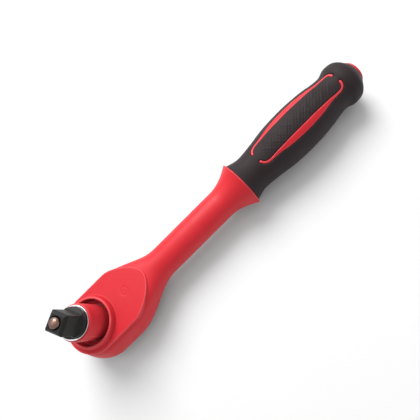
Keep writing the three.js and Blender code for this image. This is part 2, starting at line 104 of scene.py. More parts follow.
STEEL_BAR = 7.5          # radius of the bore for the steel bar under the insulation and the grip
WHEEL_TOP = 4.6          # where the toothed wheel ends and the journal starts
NECK_FOOT = 9.2          # where the journal ends and the moulded square end starts
PIN_BORE_FLOOR = 33      # foot of the wide bore that the release pin and its spring sit in
BALL_TURN = math.radians(120)  # direction of the locking ball from X


# ---- Settings -----------------------------------------------------------------------------


def length(name, description, millimetres):
    """A length that a user may change, kept in metres."""
    return FloatProperty(name=name, description=description, default=millimetres * MM,
                         min=0, precision=5, unit="LENGTH", subtype="DISTANCE")


def colour(name, description, red, green, blue):
    return FloatVectorProperty(name=name, description=description, size=3, min=0, max=1,
                               default=(red, green, blue), subtype="COLOR")


class HeadSizes(bpy.types.PropertyGroup):
    """Sizes of the moulded head, neck, shank and guard flange."""

    head_end: length("Head end", "From the drive axis to the round end", -SHELL[0].x)
    head_half: length("Head half width", "Half the head's width", SHELL[1].y)
    head_top: length("Head top", "From the handle axis to the body's top", 11.8)
    head_bottom: length("Head bottom", "From the handle axis to the body's underside", 10.7)
    head_lean: length("Wall lean", "How far the walls lean in towards the face", 3.8)
    face_height: length("Face height", "From the handle axis to the flat face", 12.4)
    face_half: length("Face half width", "Half the flat face's width", 20.4)
    face_tip: length("Face tip", "From the drive axis to the face's nose", 48)
    face_edge: length("Face edge radius", "Rounding of the flat face's edge", 0.45)
    rim_height: length("Rim height", "From the handle axis to the raised rim's top", 16.8)
    rim_radius: length("Rim radius", "Outside of the raised rim at its foot", 17.9)
    rim_lean: length("Rim lean", "How far the rim's wall leans in over its height", 1.3)
    recess_radius: length("Recess radius", "Inside of the raised rim", 15.2)
    shank_radius: length("Shank radius", "Outside of the round shank", 11)
    flange_radius: length("Flange radius", "Outside of the guard flange", SHELL[1].z)
    flare_length: length("Flare length", "Length of the flange's concave flare", 20.2)
    step: length("Mesh step", "Spacing of the fine mesh", 0.57)


class GripSizes(bpy.types.PropertyGroup):
    """Sizes of the two-part grip."""

    skin: length("Sleeve thickness", "Thickness of the soft sleeve", 2.8)
    gap: length("Fit gap", "Gap left between seated pieces", 0.3)
    stripe_half: length("Stripe half width", "Half width of an inlay at its ends", 0.8)
    stripe_swell: length("Stripe swell", "Extra half width at its widest place", 1.8)
    knurl_pitch: length("Panel pitch", "Pitch of the diamonds between the inlays", 3.0)
    knurl_height: length("Panel height", "Height of the diamonds", 0.22)
    step: length("Mesh step", "Spacing of the fine mesh", 0.55)


class DriveSizes(bpy.types.PropertyGroup):
    """Sizes of the square drive."""

    square: length("Square", "Width across the drive's flats", 12.7)
    square_turn: FloatProperty(name="Square turn", default=math.radians(30), subtype="ANGLE",
                               description="Angle of the first flat's normal from X",
                               unit="ROTATION")
    neck_radius: length("Neck radius", "Round part behind the square", 9.8)
    groove_radius: length("Groove radius", "Groove for the retaining ring", 9.3)
    edge: length("Edge radius", "Rounding of the square's edges", 0.5)
    chamfer: length("End chamfer", "Width of the chamfer round the square's end", 1.5)
    chamfer_length: length("End chamfer length", "The same, along the square", 2.2)
    step: length("Mesh step", "Spacing of the fine mesh", 0.3)
    facets: IntProperty(name="Facets", description="Faces round a turned piece", default=96, min=24)


class Finishes(bpy.types.PropertyGroup):
    """Colours of the wrench's materials."""

    red: colour("Insulation red", "Satin moulded insulation", 0.69, 0.015, 0.027)
    # Paler red for proud edges: rubbed wear, and a painted highlight along the face's edge and the rim's ridge.
    red_pale: colour("Worn and highlit red", "Insulation rubbed pale, and its painted edge highlight", 0.86, 0.11, 0.13)
    # Colour that bounced light sees in place of the red: painted shade that keeps the floor's shadow grey and the
    # recess dark.
    bounce: colour("Bounced light", "What the insulation gives to its surroundings", 0.3, 0.2, 0.2)
    black: colour("Grip black", "Soft grip overmould", 0.027, 0.0175, 0.0195)
    lever: colour("Lever black", "Reversing lever", 0.03, 0.029, 0.03)
    phosphate: colour("Phosphate black", "Oiled black phosphate on steel", 0.015, 0.011, 0.012)
    forged: colour("Forged steel", "Bead blasted steel", 0.42, 0.43, 0.44)
    bright: colour("Bright steel", "Polished steel", 0.80, 0.80, 0.81)
    copper: colour("Warm plating", "Polished plating of the release pin", 0.36, 0.22, 0.18)
    bronze: colour("Bronze", "Sintered bush bronze", 0.50, 0.33, 0.15)
    seal: colour("Seal rubber", "Nitrile rubber", 0.016, 0.014, 0.014)
    floor: colour("Floor", "Plain pale floor", 0.86, 0.86, 0.86)


class Studio(bpy.types.PropertyGroup):
    """Camera and light."""

    lens: FloatProperty(name="Lens", description="Focal length on a 36 mm sensor",
                        default=30.99, unit="CAMERA")
    key_power: FloatProperty(name="Key light", description="Power of the key softbox",
                             default=12.5, unit="POWER")
    fill: FloatProperty(name="Fill", description="Strength of the even light all round",
                        default=0.5, min=0)


def millimetres(settings):
    """The lengths in a group of settings as millimetres, and its other values as they are."""
    values = {}
    for prop in settings.bl_rna.properties:
        if prop.type in {"FLOAT", "INT"} and not getattr(prop, "is_array", False):
            value = getattr(settings, prop.identifier)
            values[prop.identifier] = value / MM if prop.subtype == "DISTANCE" else value
    return SimpleNamespace(**values)


# ---- Shapes as signed distances -----------------------------------------------------------


def smooth(start, end, x):
    """0 before start, 1 after end, and a smooth rise between them."""
    t = np.clip((x - start) / (end - start), 0, 1)
    return t * t * (3 - 2 * t)


def mix(a, b, share):
    return a + (b - a) * share


def meet(a, b, radius):
    """What two shapes share, its edge rounded to that radius."""
    return (np.minimum(-radius, np.maximum(a, b))
            + np.hypot(np.maximum(radius + a, 0), np.maximum(radius + b, 0)))


def join(a, b, radius):
    """Two shapes together, with a fillet of that radius between them."""
    return -meet(-a, -b, radius)


def spline(points, steps):
    """A smooth line through the points, with that many steps between two of them."""
    p = np.array([points[0], *points, points[-1]], float)
    made = []
    for a, b, c, d in zip(p, p[1:], p[2:], p[3:]):
        for t in np.arange(steps) / steps:
            made.append(0.5 * (2 * b + (c - a) * t + (2 * a - 5 * b + 4 * c - d) * t ** 2
                               + (3 * b - a - 3 * c + d) * t ** 3))
    return np.array([*made, p[-1]])


def line_distance(u, v, line):
    """Distance from the points (u, v) to an open line."""
    best = np.full(np.broadcast(u, v).shape, 1e9)
    for (u0, v0), (u1, v1) in zip(line, line[1:]):
        du, dv = u1 - u0, v1 - v0
        share = np.clip(((u - u0) * du + (v - v0) * dv) / (du * du + dv * dv), 0, 1)
        best = np.minimum(best, (u - u0 - share * du) ** 2 + (v - v0 - share * dv) ** 2)
    return np.sqrt(best)


def head_outline(x, y, half, tip):
    """Distance to the head's outline: round at the drive, straight sides and a blunt nose."""
    shoulder = 24
    t = np.linspace(0, 1, 50)[:, None]
    corners = np.array([[shoulder, half], [shoulder + 8, half], [tip, 0.45 * half], [tip, 0]])
    nose = (corners[0] * (1 - t) ** 3 + corners[1] * 3 * t * (1 - t) ** 2
            + corners[2] * 3 * t * t * (1 - t) + corners[3] * t ** 3)
    across = np.abs(y)
    sides = np.hypot(np.minimum(x, 0), y) - half
    to_nose = line_distance(x, across, nose)
    inside = across < np.interp(x, nose[:, 0], nose[:, 1], right=-1)
    return np.where(x < shoulder, sides, np.where(inside, -to_nose, to_nose))


def body(x, y, z, s):
    """Distance to the head body, neck, shank and flare.

    The head's section is a box with rounded corners whose walls lean in towards the face, and
    it turns into the shank's circle along the neck."""
    flare = np.clip((x - SHELL[1].x + s.flare_length) / s.flare_length, 0, 1) ** 1.8
    flare = flare * (s.flange_radius - s.shank_radius)
    rounding = smooth(16, 56, x)
    wide = mix(s.head_half, s.shank_radius, smooth(17, 62, x)) + flare
    middle = mix(-2, 0, rounding)
    tall = np.where(z > middle,
                    mix(s.head_top, s.shank_radius, smooth(40, 66, x)) + flare - middle,
                    mix(s.head_bottom, s.shank_radius, smooth(44, 66, x)) + flare + middle)
    power = mix(np.where(z > middle, 8, 4.5), 2, rounding)
    leaning = s.head_lean * (1 - rounding) * np.clip((z - middle) / tall, 0, 1.3) ** 1.4
    end = np.minimum(x, 0) * s.head_half / s.head_end
    across = (np.hypot(end, y) + leaning) / wide + 1e-6
    upward = np.abs(z - middle) / tall + 1e-6
    size = (across ** power + upward ** power) ** (1 / power)
    slope = size ** (1 - power) * np.hypot(across ** (power - 1) / wide,
                                           upward ** (power - 1) / tall)
    return (size - 1) / slope


def insulation(x, y, z, s):
    """Distance to the whole insulation shell."""
    around = np.hypot(x, y)
    mark = np.hypot(x - 30, y)
    pressed = 0.16 * np.exp(-((mark - 2.6) / 0.6) ** 2) + 0.18 * np.exp(-(mark / 0.8) ** 2)
    outline = head_outline(x, y, s.face_half, s.face_tip)
    plate = meet(outline, z - s.face_height + pressed, s.face_edge)
    land = meet(head_outline(x, y, 20.8, 46.6), CAP[0].z + 0.3 - z, 0.4)
    plate = np.minimum(np.maximum(plate, -z), np.maximum(land, z))
    rise = np.clip((z - s.face_height) / (s.rim_height - s.face_height), 0, 1)
    rim = meet(around - s.rim_radius + s.rim_lean * rise, z - s.rim_height, 0.5)
    shell = join(join(body(x, y, z, s), plate, 0.35), rim, 0.4)
    shell = meet(shell, x - SHELL[1].x, 0.5)
    recess = np.maximum(around - s.recess_radius, 8 - z)
    steel = np.maximum(head_outline(x, y, 19.5, 44.3), z - 8.6)
    bar = np.maximum(np.hypot(y, z) - STEEL_BAR, 30 - x)
    shell = meet(shell, -recess, 0.4)
    shell = meet(shell, -steel, 0.25)
    return np.maximum(shell, -bar)


def back_plate(x, y, z, s):
    """Distance to the cap in the back of the head, with a pressed ring round its lever."""
    from_lever = np.hypot(x - SELECTOR_X, y)
    cap = meet(head_outline(x, y, CAP[1].y, CAP[1].x), CAP[0].z - z, 0.35)
    ring = 0.3 * np.exp(-((from_lever - 9.6) / 0.6) ** 2)
    cap = np.maximum(cap, CAP[0].z + ring - z)
    cap = np.maximum(cap, z - CAP[1].z)
    return meet(cap, 4.9 - from_lever, 0.3)


# ---- Grip ---------------------------------------------------------------------------------

GRIP_LINE = spline([
    (SLEEVE[0].x, 16.4), (144, 14.7), (150, 14), (162, 15.2), (176, 17.1), (195, 17.6),
    (211, 16.5), (220, 15), (227, 14.4), (230.5, 15), (234, 16.3), (237.5, 16.4),
    (240.5, 15.8), (243, 14), (245, 11.8), (SLEEVE[1].x, 10.3)], 10)
LINED = GRIP_LINE[GRIP_LINE[:, 0] < CORE[1].x - 3]
INLAY_LINE = spline([
    (156, 4), (157.6, 6.6), (161, 8.3), (168, 8.8), (178, 9.9), (193, 10.4), (208, 9.7),
    (218, 8.6), (224, 8.5), (228.3, 8), (230.3, 6.2), (230.8, 3.6)], 5)


def grip_radius(x):
    return np.interp(x, GRIP_LINE[:, 0], GRIP_LINE[:, 1])


def lean(x):
    """Cosine of the grip outline's slope, which turns a radial distance into a true one."""
    return 1 / np.hypot(1, (grip_radius(x + 0.2) - grip_radius(x - 0.2)) / 0.4)


def round_grip(x, y, z):
    """Distance round the grip from its top or bottom line, whichever is nearer."""
    return np.arctan2(np.abs(y), np.abs(z)) * grip_radius(x)


def inlay(x, y, z, s):
    """Distance to the four inlays' sides, measured over the surface."""
    half = s.stripe_half + s.stripe_swell * np.exp(-np.abs((x - 193) / 22) ** 3)
    return line_distance(x, round_grip(x, y, z), INLAY_LINE) - half


def panel(x, y, z):
    """1 on the panels between two inlays, and 0 outside them."""
    side = np.interp(x, INLAY_LINE[:, 0], INLAY_LINE[:, 1])
    inwards = smooth(2.6, 4.2, side - round_grip(x, y, z))
    return inwards * smooth(159, 163, x) * (1 - smooth(223, 227, x))


def sleeve(x, y, z, s):
    """Distance to the soft sleeve, open where the inlays come through."""
    turn, along = (round_grip(x, y, z) * math.pi / s.knurl_pitch, x * math.pi / s.knurl_pitch)
    cells = np.sqrt(np.abs(np.sin(along + turn) * np.sin(along - turn)))
    diamonds = s.knurl_height * (cells - 0.7) * panel(x, y, z)
    radius = np.hypot(y, z)
    skin = (radius - grip_radius(x) - diamonds) * lean(x)
    inside = np.interp(x, [*LINED[:, 0], CORE[1].x, CORE[1].x + s.gap],
                       [*(LINED[:, 1] - s.skin + s.gap), PLUG[1].y + 2 * s.gap,
                        PLUG[1].y + s.gap])
    skin = meet(skin, SLEEVE[0].x - x, 0.35)
    skin = meet(skin, x - SLEEVE[1].x, 0.35)
    skin = np.maximum(skin, inside - radius)
    return meet(skin, s.gap - inlay(x, y, z, s), 0.45)


def hard_core(x, y, z, s):
    """Distance to the hard core, with the four ribs that fill the sleeve's openings."""
    radius = np.hypot(y, z)
    under = np.interp(x, [*LINED[:, 0], CORE[1].x], [*(LINED[:, 1] - s.skin), PLUG[1].y + s.gap])
    ribs = meet(inlay(x, y, z, s), (radius - grip_radius(x) + 0.12) * lean(x), 0.45)
    core = np.maximum(np.minimum(radius - under, ribs), 3 - radius)
    core = np.maximum(core, np.maximum(CORE[0].x - x, x - CORE[1].x))
    bar = np.maximum(radius - STEEL_BAR, x - 222.5)
    socket = np.maximum(radius - 5.3, PLUG[0].x - 0.4 - x)
    return np.maximum(core, -np.minimum(bar, socket))


# ---- Drive --------------------------------------------------------------------------------


def square_end(x, y, z, s):
    """Distance to the spindle above its journal: round neck, shoulders, square and bore."""
    turn = s.square_turn
    u = np.abs(x * math.cos(turn) + y * math.sin(turn))
    v = np.abs(-x * math.sin(turn) + y * math.cos(turn))
    half = s.square / 2
    tip = SPINDLE[1].z
    flats = np.interp(z, [34.8, 35, 35.6, 36.5, 37.8, tip - s.chamfer_length, tip],
                      [20, s.neck_radius, 8.6, 7.2, half, half, half - s.chamfer])
    around = np.hypot(x, y)
    neck = np.interp(z, [32.4, 32.5, 33.7, 33.8, tip - s.chamfer_length, tip],
                     [s.neck_radius, s.groove_radius, s.groove_radius, s.neck_radius, s.neck_radius,
                      s.neck_radius - s.chamfer_length])
    horn = meet(meet(u - flats, v - flats, s.edge), around - neck, s.edge)
    horn = meet(horn, z - tip, 0.3)
    horn = np.maximum(horn, NECK_FOOT - z)
    pin_bore = np.maximum(around - 4.05, PIN_BORE_FLOOR - z)
    rod_bore = np.maximum(around - 2.1, 24 - z)
    cos, sin = math.cos(BALL_TURN), math.sin(BALL_TURN)
    off_axis = np.hypot(-x * sin + y * cos, z - (BALL[0].z + BALL[1].z) / 2)
    ball_hole = np.maximum(off_axis - 2.15, -x * cos - y * sin)
    horn = meet(horn, -pin_bore, 0.3)
    horn = np.maximum(horn, -rod_bore)
    return meet(horn, -ball_hole, 0.2)


def reversing_lever(x, y, z, s):
    """Distance to the lever on the back: a round boss and a thumb wing with three ridges."""
    boss = meet(np.hypot(x, y) - 7.6, -14.2 - z, 0.6)
    boss = np.maximum(boss, z - LEVER[1].z)
    along = np.clip(x, -4.4, 10.2)
    half = np.interp(along, [-4.4, 10.2], [3.1, 2.9])
    ridges = 0.35 * (0.5 - 0.5 * np.cos((x - 6.2) * 2 * math.pi / 2.2)) * smooth(5.4, 6.6, x)
    wing = meet(np.hypot(x - along, y) - half, LEVER[0].z + ridges - z, 0.9)
    wing = np.maximum(wing, z + 12.4)
    lever = join(boss, wing, 0.8)
    return np.maximum(lever, -np.maximum(np.hypot(x, y) - 3.8, -16.1 - z))


# ---- Meshes -------------------------------------------------------------------------------


def surface_of(field, low, high, step):
    """Points and four-sided faces of a field's zero surface between two corners.

    Each cell of a grid that the surface crosses holds one point, and each grid edge that it
    crosses holds one face between its four cells. The points are then drawn onto the surface."""
    axes = [np.arange(a - 2 * step, b + 3 * step, step) for a, b in zip(low, high)]
    value = np.empty([len(axis) for axis in axes])
    for i in range(0, len(axes[0]), 24):
        part = np.meshgrid(axes[0][i:i + 24], axes[1], axes[2], indexing="ij", sparse=True)
        value[i:i + 24] = field(*part)
    inside = value < 0
    size = np.array(inside.shape) - 1
    count = sum(inside[i:size[0] + i, j:size[1] + j, k:size[2] + k].astype(np.int8)
                for i, j, k in product((0, 1), repeat=3))
    cells = np.argwhere((count > 0) & (count < 8))
    number = np.full(count.shape, -1)
    number[tuple(cells.T)] = np.arange(len(cells))
    total, hits = np.zeros(cells.shape), np.zeros(len(cells))
    faces = []
    for axis in range(3):
        ahead, u, v = np.roll(np.eye(3, dtype=int), -axis, axis=0)
        for i, j in product((0, 1), repeat=2):
            a = cells + i * u + j * v
            here, there = value[tuple(a.T)], value[tuple((a + ahead).T)]
            crosses = (here < 0) != (there < 0)
            share = np.where(crosses, here / np.where(crosses, here - there, 1), 0)
            total += crosses[:, None] * (a + share[:, None] * ahead)
            hits += crosses
        edge_size = size + 1 - ahead
        first = inside[tuple(slice(0, n) for n in edge_size)]
        second = inside[tuple(slice(k, n + k) for n, k in zip(edge_size, ahead))]
        edges = np.argwhere(first != second)
        edges = edges[((edges @ u) > 0) & ((edges @ v) > 0)]
        quads = np.stack([number[tuple((edges - shift).T)]
                          for shift in (0 * u, u, u + v, v)], axis=1)
        outwards = inside[tuple(edges.T)]
        faces.append(np.where(outwards[:, None], quads, quads[:, ::-1]))
    points = total / hits[:, None] * step + [axis[0] for axis in axes]
    for _ in range(4):
        slope = slope_of(field, points)
        move = field(*points.T) / np.maximum((slope ** 2).sum(1), 0.2)
        points -= np.clip(move, -step / 2, step / 2)[:, None] * slope
    return points, np.concatenate(faces)


def slope_of(field, points, reach=0.02):
    """How fast a field rises along X, Y and Z at the points."""
    return np.stack([(field(*(points + reach * way).T) - field(*(points - reach * way).T))
                     / (2 * reach) for way in np.eye(3)], axis=1)


def new_piece(name, body_name, material, mesh, node=None):
    """Adds a mesh that stands for a CAD node, rides on its body and takes its finish."""
    piece = bpy.data.objects.new(name, mesh)
    bpy.context.scene.collection.objects.link(piece)
    mesh.materials.append(material)
    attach(piece, body_name)
    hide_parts(node)
    return piece


def moulded(name, field, low, high, step, place=Matrix.Identity(4)):
    """A mesh of a field's surface, in metres in the row frame, with the field's own normals."""
    points, faces = surface_of(field, low, high, step)
    normals = slope_of(field, points)
    normals /= np.linalg.norm(normals, axis=1)[:, None]
    turn = np.array(place.to_3x3())
    world = points @ turn.T + np.array(place.translation)
    mesh = bpy.data.meshes.new(name)
    mesh.from_pydata(world * MM + np.array(DRIVE), [], faces.tolist())
    mesh.shade_smooth()
    mesh.normals_split_custom_set_from_vertices(normals @ turn.T)
    return mesh, points


def placed_mesh(name, shape, along=Matrix.Identity(4)):
    """A mesh in metres in the row frame, from a bmesh in millimetres about the drive axis."""
    shape.transform(Matrix.Translation(DRIVE) @ Matrix.Scale(MM, 4) @ along)
    mesh = bpy.data.meshes.new(name)
    shape.to_mesh(mesh)
    shape.free()
    return mesh


def softened(profile, radius, steps=4):
    """A closed outline with each corner rounded, as far as its two sides leave room."""
    made = []
    for i, corner in enumerate(profile):
        corner = np.array(corner, float)
        before = np.array(profile[i - 1], float) - corner
        after = np.array(profile[(i + 1) % len(profile)], float) - corner
        cut = min(radius, 0.45 * np.linalg.norm(before), 0.45 * np.linalg.norm(after))
        if corner[0] == 0:
            made.append(corner)
            continue
        a = corner + before / np.linalg.norm(before) * cut
        b = corner + after / np.linalg.norm(after) * cut
        for t in np.linspace(0, 1, steps):
            made.append(a * (1 - t) ** 2 + 2 * corner * t * (1 - t) + b * t * t)
    return made


def turned(name, profile, radius=0.25, facets=96, along=Matrix.Identity(4)):
    """A closed outline of (radius, height) points turned about the drive axis."""
    outline = softened(profile, radius)
    shape = bmesh.new()
    ring = [shape.verts.new((r, 0, z)) for r, z in outline]
    edges = [shape.edges.new((ring[i - 1], ring[i])) for i in range(len(ring))
             if ring[i - 1].co.x > 0 or ring[i].co.x > 0]
    bmesh.ops.spin(shape, geom=ring + edges, axis=(0, 0, 1), cent=(0, 0, 0),
                   angle=2 * math.pi, steps=facets, use_merge=True)
    bmesh.ops.remove_doubles(shape, verts=shape.verts, dist=1e-4)
    bmesh.ops.recalc_face_normals(shape, faces=shape.faces)
    mesh = placed_mesh(name, shape, along)
    mesh.shade_smooth()
    return mesh


def even_normals(piece):
    """Keeps flat faces flat beside their rounded edges."""
    piece.modifiers.new("Even normals", "WEIGHTED_NORMAL").keep_sharp = True
    return piece


def add_to(mesh, other):
    """Puts another mesh's faces into this one."""
    shape = bmesh.new()
    shape.from_mesh(mesh)
    shape.from_mesh(other)
    shape.to_mesh(mesh)
    shape.free()
    mesh.shade_smooth()


def coil(name, radius, low, high, turns, wire):
    """A round wire wound about the drive axis, its ends closed."""
    steps, sides = 32 * turns, 10
    rings = []
    shape = bmesh.new()
    for i in range(steps + 1):
        angle = 2 * math.pi * turns * i / steps
        height = low + wire + (high - low - 2 * wire) * i / steps
        rings.append([shape.verts.new((
            (radius + wire * math.cos(side)) * math.cos(angle),
            (radius + wire * math.cos(side)) * math.sin(angle),
            height + wire * math.sin(side)))
            for side in np.linspace(0, 2 * math.pi, sides, endpoint=False)])
    for before, after in zip(rings, rings[1:]):
        for k in range(sides):
            shape.faces.new((before[k - 1], before[k], after[k], after[k - 1]))
    shape.faces.new(rings[0])
    shape.faces.new(rings[-1][::-1])
    bmesh.ops.recalc_face_normals(shape, faces=shape.faces)
    mesh = placed_mesh(name, shape)
    mesh.shade_smooth()
    return mesh


def ratchet_wheel(name):
    """The toothed wheel, hub and journal under the square end."""
    teeth, tip, root = 72, SPINDLE[1].y, SPINDLE[1].y - 0.7
    bottom, top = -6, WHEEL_TOP
    shape = bmesh.new()
    rings = []
    for z in (bottom, top):
        ring = []
        for i in range(4 * teeth):
            radius = (tip, tip, root, root)[i % 4]
            angle = 2 * math.pi * (i - 0.5) / (4 * teeth)
            ring.append(shape.verts.new((radius * math.cos(angle), radius * math.sin(angle), z)))
        rings.append(ring)
    for i in range(4 * teeth):
        shape.faces.new((rings[0][i - 1], rings[0][i], rings[1][i], rings[1][i - 1]))
    shape.faces.new(rings[1])
    shape.faces.new(rings[0][::-1])
    return placed_mesh(name, shape)


# ---- Finishes -----------------------------------------------------------------------------


def add_node(tree, kind, inputs=None, **settings):
    """A node with its settings made and its inputs linked or set."""
    made = tree.nodes.new(kind)
    for name, value in settings.items():
        setattr(made, name, value)
    for name, value in (inputs or {}).items():
        if isinstance(value, bpy.types.NodeSocket):
            tree.links.new(value, made.inputs[name])
        else:
            made.inputs[name].default_value = value
    return made


def scaled(tree, value, low, high, to_low=0.0, to_high=1.0):
    """A value moved from one range to another, and held inside it."""
    return add_node(tree, "ShaderNodeMapRange", {"Value": value, "From Min": low, "From Max": high,
                                                 "To Min": to_low, "To Max": to_high}).outputs[0]


def maths(tree, operation, a, b):
    return add_node(tree, "ShaderNodeMath", {0: a, 1: b}, operation=operation).outputs[0]


def noise(tree, size, detail=3.0, stretch=(1, 1, 1), roughness=0.5):
    """Cloudy noise over the piece, its features about size metres across."""
    where = add_node(tree, "ShaderNodeTexCoord").outputs["Object"]
    spread = add_node(tree, "ShaderNodeMapping", {"Vector": where, "Scale": stretch})
    return add_node(tree, "ShaderNodeTexNoise", {
        "Vector": spread.outputs[0], "Scale": 1 / size, "Detail": detail,
        "Roughness": roughness}).outputs["Fac"]


def effect(name, inputs, outputs):
    """A new shader node group with float inputs and outputs."""
    group = bpy.data.node_groups.new(name, "ShaderNodeTree")
    for label, default in inputs.items():
        socket = group.interface.new_socket(label, in_out="INPUT", socket_type="NodeSocketFloat")
        socket.default_value = default
    for label in outputs:
        group.interface.new_socket(label, in_out="OUTPUT", socket_type="NodeSocketFloat")
    given = group.nodes.new("NodeGroupInput").outputs
    wanted = group.nodes.new("NodeGroupOutput").inputs
    return group, given, wanted


def make_edge_wear_and_highlight():
    """Where edges stand proud, broken up by noise: rubbed wear, and on the red insulation also a painted
    highlight.
    """
    group, given, wanted = effect("Edge Wear and Highlight", {"Start": 0.52, "End": 0.6, "Break-up": 0.5},
                                  ["Mask"])
    sharp = add_node(group, "ShaderNodeNewGeometry").outputs["Pointiness"]
    edge = add_node(group, "ShaderNodeMapRange", {"Value": sharp, "From Min": given["Start"],
                                                  "From Max": given["End"]}).outputs[0]
    patches = scaled(group, noise(group, 0.004, 4), 0.35, 0.65)
    kept = maths(group, "MULTIPLY", patches, given["Break-up"])
    group.links.new(maths(group, "MULTIPLY", edge, maths(group, "SUBTRACT", 1.0, kept)),
                    wanted["Mask"])
    return group


def make_moulded_grain():
    """Fine spark-eroded grain over a faint waviness, and a slow mottle for colour."""
    group, given, wanted = effect("Moulded Grain", {"Waviness": 0.5, "Grain": 0.5},
                                  ["Height", "Mottle"])
    fine = maths(group, "MULTIPLY", noise(group, 0.00035, 2), given["Grain"])
    wave = maths(group, "MULTIPLY", noise(group, 0.007, 2), given["Waviness"])
    group.links.new(maths(group, "ADD", fine, wave), wanted["Height"])
    group.links.new(scaled(group, noise(group, 0.012, 4), 0.3, 0.7), wanted["Mottle"])
    return group


def make_scuffs():
    """Thin handling scratches in two directions."""
    group, given, wanted = effect("Scuffs", {"Amount": 0.3}, ["Mask"])
    one = scaled(group, noise(group, 0.0012, 3, (0.06, 1, 1)), 0.62, 0.72)
    two = scaled(group, noise(group, 0.001, 3, (1, 0.08, 0.5)), 0.64, 0.74)
    both = maths(group, "MAXIMUM", one, two)
    group.links.new(maths(group, "MULTIPLY", both, given["Amount"]), wanted["Mask"])
    return group


def make_turning_lines():
    """Fine lathe lines round the drive axis."""
    group, given, wanted = effect("Turning Lines", {"Lines per metre": 2500.0}, ["Height"])
    where = add_node(group, "ShaderNodeTexCoord").outputs["Object"]
    flat = add_node(group, "ShaderNodeVectorMath", {0: where, 1: (DRIVE.x, 0, 0)},
                    operation="SUBTRACT").outputs[0]
    flat = add_node(group, "ShaderNodeVectorMath", {0: flat, 1: (1, 1, 0)},
                    operation="MULTIPLY").outputs[0]
    radius = add_node(group, "ShaderNodeVectorMath", {0: flat}, operation="LENGTH").outputs["Value"]
    rows = maths(group, "MULTIPLY", radius, given["Lines per metre"])
    group.links.new(maths(group, "SINE", rows, 0.0), wanted["Height"])
    return group


def use(tree, group, **inputs):
    """A group placed in a material with its own values."""
    placed = add_node(tree, "ShaderNodeGroup", node_tree=bpy.data.node_groups[group])
    for name, value in inputs.items():
        placed.inputs[name.replace("_", " ").replace("Breakup", "Break-up")].default_value = value
    return placed.outputs


def tint(tree, share, first, second):
    """One colour turning into another."""
    return add_node(tree, "ShaderNodeMix", {"Factor": share, "A": (*first, 1), "B": (*second, 1)},
                    data_type="RGBA").outputs["Result"]


def tint_onto(tree, share, under, over):
    """A colour laid over a varying one."""
    made = add_node(tree, "ShaderNodeMix", {"Factor": share, "B": (*over, 1)}, data_type="RGBA")
    tree.links.new(under, made.inputs["A"])
    return made.outputs["Result"]


def bump(tree, height, strength, distance):
    return add_node(tree, "ShaderNodeBump", {"Height": height, "Strength": strength,
                                             "Distance": distance}).outputs[0]


def new_material(name):
    """A material's tree and its Principled shader."""
    material = bpy.data.materials.new(name)
    material.use_nodes = True
    return material, material.node_tree, material.node_tree.nodes["Principled BSDF"]


def set_shader(tree, shader, **values):
    """Links or sets the shader's sockets."""
    for name, value in values.items():
        socket = shader.inputs[name.replace("_", " ")]
        if isinstance(value, bpy.types.NodeSocket):
            tree.links.new(value, socket)
        else:
            socket.default_value = value


def darker(shade, share):
    return tuple(part * share for part in shade)


def red_plastic(colours):
    """Satin moulded insulation, paler along its edges from rubbing and a painted highlight, and greyer to bounced
    light as painted shade.
    """
    material, tree, shader = new_material("Red insulation")
    grain = use(tree, "Moulded Grain", Waviness=1.0, Grain=0.06)
    base = tint(tree, grain["Mottle"], darker(colours.red, 0.94), colours.red)
    # Proud edges turn paler red: partly rubbed wear, partly a painted highlight along the face's edge and the
    # rim's ridge.
    pale_edges = use(tree, "Edge Wear and Highlight", Start=0.511, End=0.558, Breakup=0.4)["Mask"]
    base = tint_onto(tree, maths(tree, "MULTIPLY", pale_edges, 0.8), base, colours.red_pale)
    scuffs = use(tree, "Scuffs", Amount=0.12)["Mask"]
    rough = maths(tree, "ADD", scaled(tree, grain["Mottle"], 0, 1, 0.42, 0.54), scuffs)
    # Diffuse rays see a greyer insulation: painted shade that keeps the floor's shadow grey and the recess darker.
    bounced = add_node(tree, "ShaderNodeLightPath").outputs["Is Diffuse Ray"]
    base = tint_onto(tree, bounced, base, colours.bounce)
    set_shader(tree, shader, Base_Color=base, Roughness=rough, Specular_IOR_Level=0.38,
               Normal=bump(tree, grain["Height"], 0.35, 0.00012))
    return material


def grip_rubber(colours):
    """Matte soft overmould with a fine leathery grain."""
    material, tree, shader = new_material("Grip overmould")
    grain = use(tree, "Moulded Grain", Waviness=0.5, Grain=1.0)
    base = tint(tree, grain["Mottle"], darker(colours.black, 0.8), colours.black)
    pale_edges = use(tree, "Edge Wear and Highlight", Start=0.52, End=0.6, Breakup=0.5)["Mask"]
    base = tint_onto(tree, maths(tree, "MULTIPLY", pale_edges, 0.5), base, (0.09, 0.08, 0.08))
    set_shader(tree, shader, Base_Color=base, Specular_IOR_Level=0.25,
               Roughness=scaled(tree, grain["Mottle"], 0, 1, 0.56, 0.68),
               Normal=bump(tree, grain["Height"], 0.6, 0.00015))
    return material


def lever_plastic(colours):
    """Fine textured glass-filled plastic."""
    material, tree, shader = new_material("Lever plastic")
    grain = use(tree, "Moulded Grain", Waviness=0.3, Grain=1.0)
    pale_edges = use(tree, "Edge Wear and Highlight", Start=0.52, End=0.62, Breakup=0.5)["Mask"]
    base = tint_onto(tree, maths(tree, "MULTIPLY", pale_edges, 0.5),
                     tint(tree, grain["Mottle"], darker(colours.lever, 0.75), colours.lever),
                     (0.12, 0.12, 0.12))
    set_shader(tree, shader, Base_Color=base, Normal=bump(tree, grain["Height"], 0.4, 0.0001),
               Roughness=scaled(tree, grain["Mottle"], 0, 1, 0.42, 0.55))
    return material


